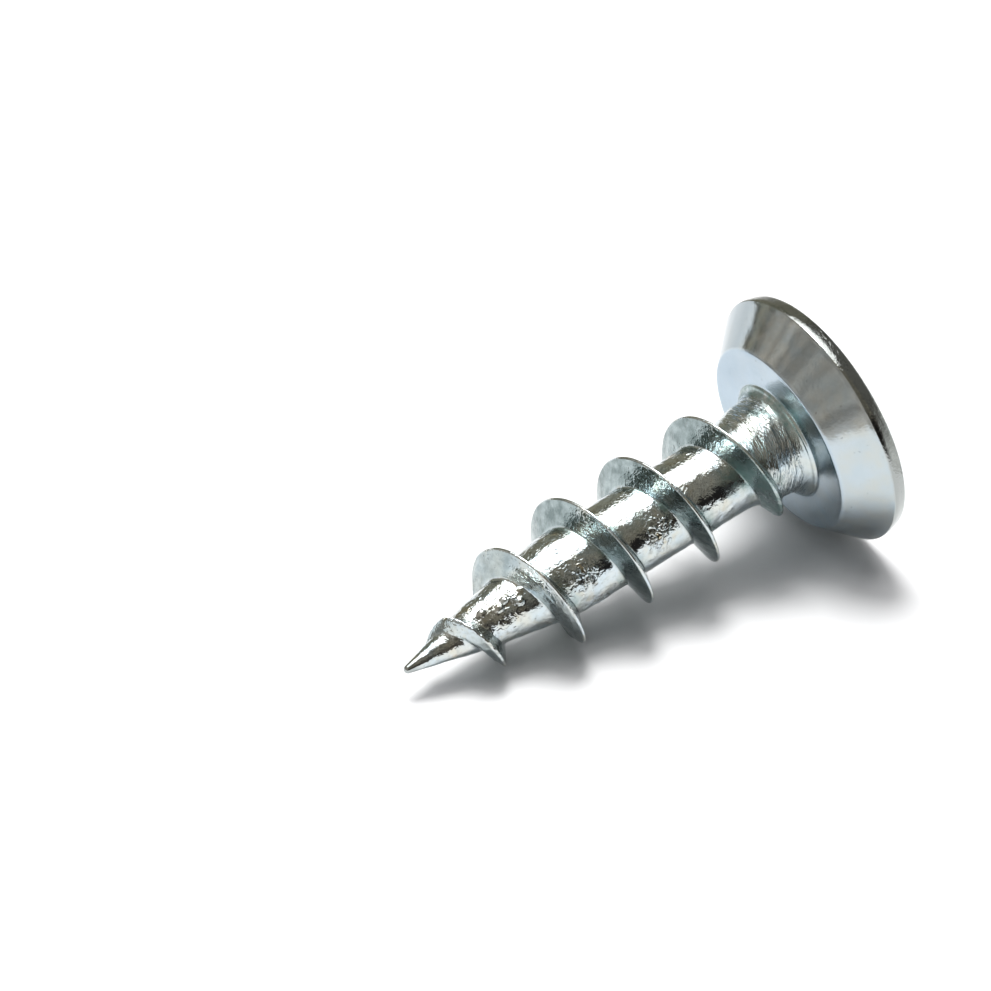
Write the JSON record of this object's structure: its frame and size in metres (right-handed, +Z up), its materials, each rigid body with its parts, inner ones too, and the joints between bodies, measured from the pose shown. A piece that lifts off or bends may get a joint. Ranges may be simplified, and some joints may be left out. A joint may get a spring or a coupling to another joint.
{
  "type": "hinge screw",
  "caption": "Countersunk wood screw for cabinet hinges, with a wide flat head, a cross recess and a coarse blade thread running to a sharp point.",
  "frame": {"origin": "bottom centre of the bounding box, on the surface that the screw lies on", "axes": "+Z up; the screw's axis lies over the X axis with the head towards +X, tilted up 11.8 degrees towards the head"},
  "size_m": [0.0156, 0.008, 0.0079],
  "materials": {
    "zinc_plate": "bright blue-white zinc plate, mirror-like on the rolled core and satin on the head's face and flanks"
  },
  "bodies": {
    "root": {"hinge_screw": "zinc_plate"}
  },
  "joints": []
}
